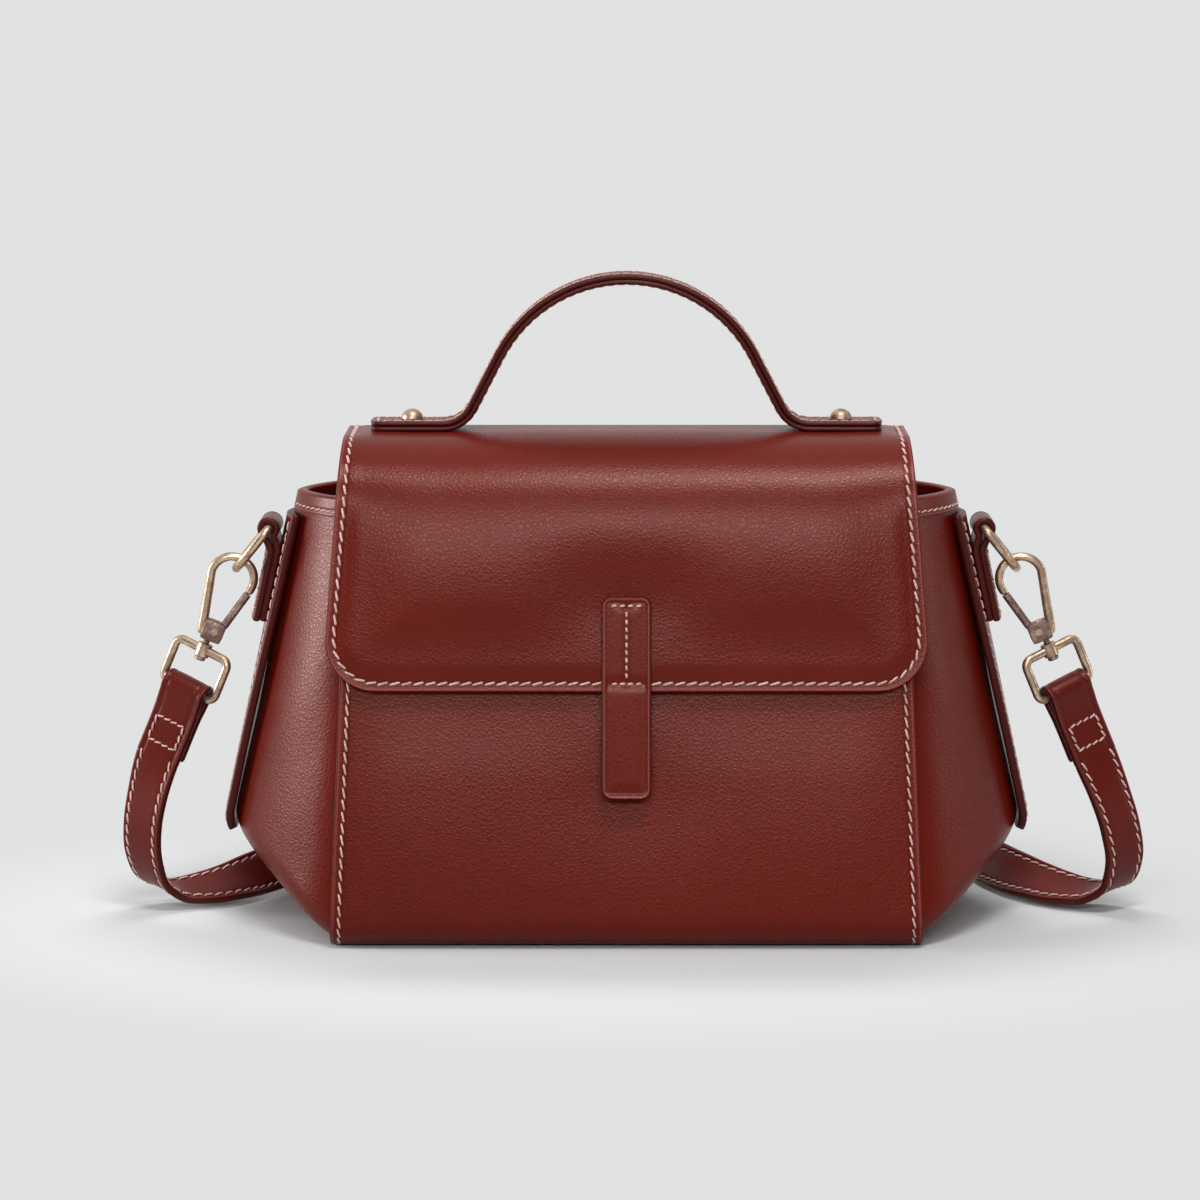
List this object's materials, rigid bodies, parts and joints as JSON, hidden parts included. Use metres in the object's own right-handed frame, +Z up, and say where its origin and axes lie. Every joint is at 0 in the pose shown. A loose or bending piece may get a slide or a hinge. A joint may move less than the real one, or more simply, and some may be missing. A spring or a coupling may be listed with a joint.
{
  "type": "flap handbag",
  "caption": "Leather flap bag with a top handle, side gussets, a closure tab and a clip-on shoulder strap.",
  "frame": {"origin": "middle of the base, on the floor", "axes": "+X to the bag's left-hand gusset as seen from behind, which is the right in a front view; +Y from the front to the back; +Z up"},
  "size_m": [0.3844, 0.1877, 0.2404],
  "materials": {
    "leather": "oxblood leather, fine pebble grain, soft sheen",
    "leather_trim": "oxblood leather, smooth, edges painted dark",
    "leather_strap": "oxblood leather, two layers sewn, edges painted dark",
    "lining_fabric": "dark woven lining",
    "board": "grey board",
    "antique_brass": "antique pale brass, brushed",
    "steel": "plated steel"
  },
  "bodies": {
    "root": {"wrap_panel": "leather", "flap_tail": "leather_trim", "gusset_left": "leather", "gusset_right": "leather", "rim_binding_left": "leather_trim", "rim_binding_right": "leather_trim", "side_strip_left": "leather_trim", "side_strip_right": "leather_trim", "ring_tab_left": "leather_trim", "ring_tab_right": "leather_trim", "strap_rear": "leather_strap", "magnet_socket": "antique_brass", "magnet_plate": "steel", "base_board": "board", "front_board": "board", "back_board": "board", "lining_body": "lining_fabric", "inner_pocket": "lining_fabric"},
    "flap": {"flap": "leather", "flap_stiffener": "board", "flap_lining": "lining_fabric", "handle_top": "leather_trim", "handle_under": "leather_trim", "handle_rivets": "antique_brass", "rivet_washers": "steel", "closure_tab_sewn": "leather_trim"},
    "closure_tab": {"closure_tab_free": "leather_trim", "magnet_stud": "antique_brass"},
    "dring_left": {"dring_left": "antique_brass"},
    "strap_end_left": {"strap_end_left": "leather_strap", "swivel_ring_left": "antique_brass", "strap_hang_left": "leather_strap"},
    "hook_left": {"hook_left": "antique_brass", "gate_rivet_left": "antique_brass", "gate_spring_left": "steel"},
    "gate_left": {"gate_left": "antique_brass"},
    "dring_right": {"dring_right": "antique_brass"},
    "strap_end_right": {"strap_end_right": "leather_strap", "swivel_ring_right": "antique_brass", "strap_hang_right": "leather_strap"},
    "hook_right": {"hook_right": "antique_brass", "gate_rivet_right": "antique_brass", "gate_spring_right": "steel"},
    "gate_right": {"gate_right": "antique_brass"}
  },
  "joints": [
    {"name": "flap_hinge", "type": "hinge", "parent": "root", "child": "flap", "pos_m": [0, 0.02806, 0.1725], "axis": [-1, 0, 0], "range_deg": [0, 120]},
    {"name": "tab_flex", "type": "hinge", "parent": "flap", "child": "closure_tab", "pos_m": [0, -0.04951, 0.09468], "axis": [-1, 0, 0], "range_deg": [0, 45], "stiffness_Nm_per_rad": 0.01},
    {"name": "strap_swing_left", "type": "hinge", "parent": "root", "child": "strap_end_left", "pos_m": [-0.1322, 0, 0.147], "axis": [0, 1, 0], "range_deg": [0, 60], "deforming": ["strap_hang_left"]},
    {"name": "dring_turn_left", "type": "hinge", "parent": "root", "child": "dring_left", "pos_m": [-0.1322, 0, 0.147], "axis": [0, 1, 0], "range_deg": [0, 60]},
    {"name": "hook_swivel_left", "type": "hinge", "parent": "strap_end_left", "child": "hook_left", "pos_m": [-0.15788, 0, 0.10026], "axis": [0.3843, 0, 0.9232], "range_deg": [-25, 25]},
    {"name": "gate_hinge_left", "type": "hinge", "parent": "hook_left", "child": "gate_left", "pos_m": [-0.15343, 0, 0.10729], "axis": [0, -1, 0], "range_deg": [0, 20], "stiffness_Nm_per_rad": 0.02},
    {"name": "strap_swing_right", "type": "hinge", "parent": "root", "child": "strap_end_right", "pos_m": [0.1322, 0, 0.147], "axis": [0, -1, 0], "range_deg": [0, 60], "deforming": ["strap_hang_right"]},
    {"name": "dring_turn_right", "type": "hinge", "parent": "root", "child": "dring_right", "pos_m": [0.1322, 0, 0.147], "axis": [0, -1, 0], "range_deg": [0, 60]},
    {"name": "hook_swivel_right", "type": "hinge", "parent": "strap_end_right", "child": "hook_right", "pos_m": [0.15788, 0, 0.10026], "axis": [-0.3843, 0, 0.9232], "range_deg": [-25, 25]},
    {"name": "gate_hinge_right", "type": "hinge", "parent": "hook_right", "child": "gate_right", "pos_m": [0.15343, 0, 0.10729], "axis": [0, 1, 0], "range_deg": [0, 20], "stiffness_Nm_per_rad": 0.02}
  ],
  "couplings": [
    {"joint": "dring_turn_left", "follows": "strap_swing_left", "ratio": 1},
    {"joint": "dring_turn_right", "follows": "strap_swing_right", "ratio": 1}
  ]
}
